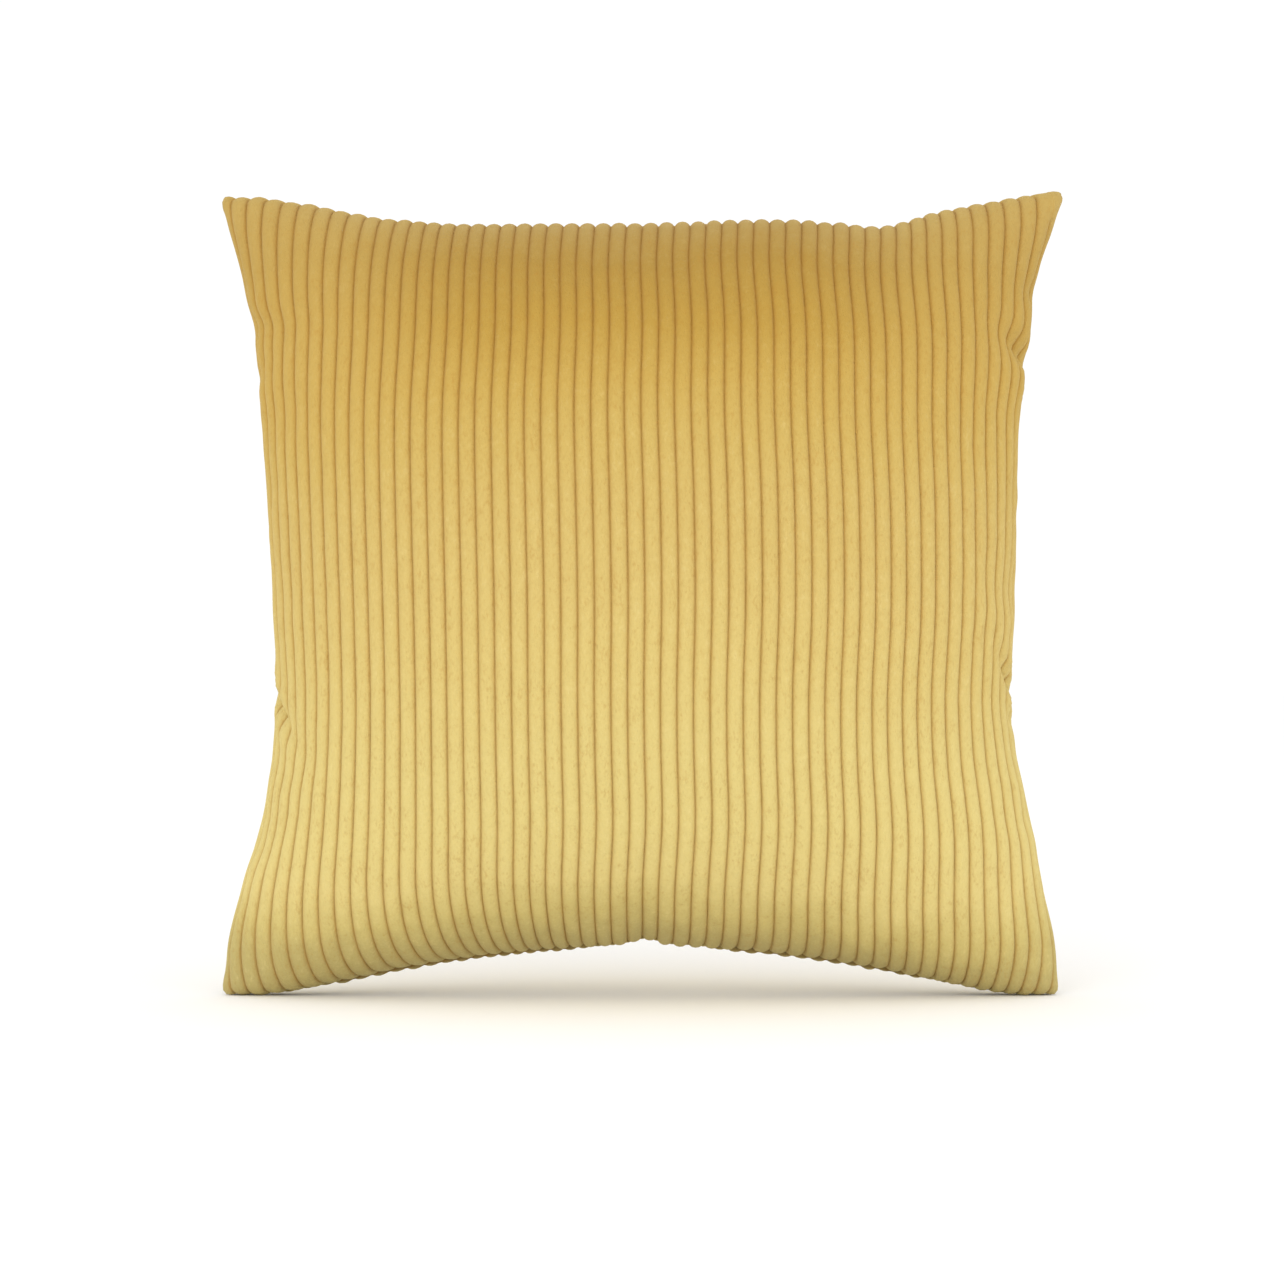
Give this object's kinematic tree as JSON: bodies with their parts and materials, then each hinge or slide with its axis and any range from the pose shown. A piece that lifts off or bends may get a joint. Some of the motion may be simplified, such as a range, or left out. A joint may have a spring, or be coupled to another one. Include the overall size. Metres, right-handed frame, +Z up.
{
  "type": "throw pillow",
  "caption": "Square throw pillow with pulled-in sides and pointed corners: a wide-ribbed corduroy cover with a hidden zip around a fibre-filled pad.",
  "frame": {"origin": "on the floor, midway between the two lower corners that the pillow stands on, in the plane of the side seams", "axes": "+X along the width to the viewer's right, +Y from the front panel to the back panel, +Z up"},
  "size_m": [0.432, 0.172, 0.413],
  "materials": {
    "corduroy": "wide-ribbed corduroy with a soft brushed pile",
    "sewing_thread": "spun polyester thread",
    "pad_thread": "spun polyester thread",
    "label_satin": "blank satin ribbon",
    "zip_tape": "herringbone woven tape",
    "zip_coil": "nylon monofilament",
    "stop_metal": "crimped wire",
    "slider_enamel": "die-cast, enamelled to match the cloth",
    "pad_ticking": "plain white woven polycotton",
    "fibre_wadding": "crimped hollow polyester fibre"
  },
  "bodies": {
    "cover": {"front_panel": "corduroy", "back_panel": "corduroy", "cover_seam_thread": "sewing_thread", "cover_overlock": "sewing_thread", "care_label": "label_satin", "zip_tape_front": "zip_tape", "zip_tape_back": "zip_tape", "zip_coil_front": "zip_coil", "zip_coil_back": "zip_coil", "zip_top_stops": "stop_metal", "zip_bottom_stop": "stop_metal", "zip_stitching_front": "sewing_thread", "zip_stitching_back": "sewing_thread", "zip_bar_tacks": "sewing_thread", "pad_front_panel": "pad_ticking", "pad_back_panel": "pad_ticking", "pad_seam_thread": "pad_thread", "fibre_fill": "fibre_wadding", "pad_label": "label_satin"},
    "slider": {"zip_slider": "slider_enamel"},
    "pull": {"zip_pull": "slider_enamel"}
  },
  "joints": [
    {"name": "slider_travel", "type": "hinge", "parent": "cover", "child": "slider", "pos_m": [0, 0, -0.65701], "axis": [0, -1, 0], "range_deg": [0, 27.06], "deforming": ["zip_coil_front", "zip_coil_back"]},
    {"name": "pull_swing", "type": "hinge", "parent": "slider", "child": "pull", "pos_m": [0.16227, 0, 0.00994], "axis": [0, -1, 0], "range_deg": [0, 150]}
  ]
}
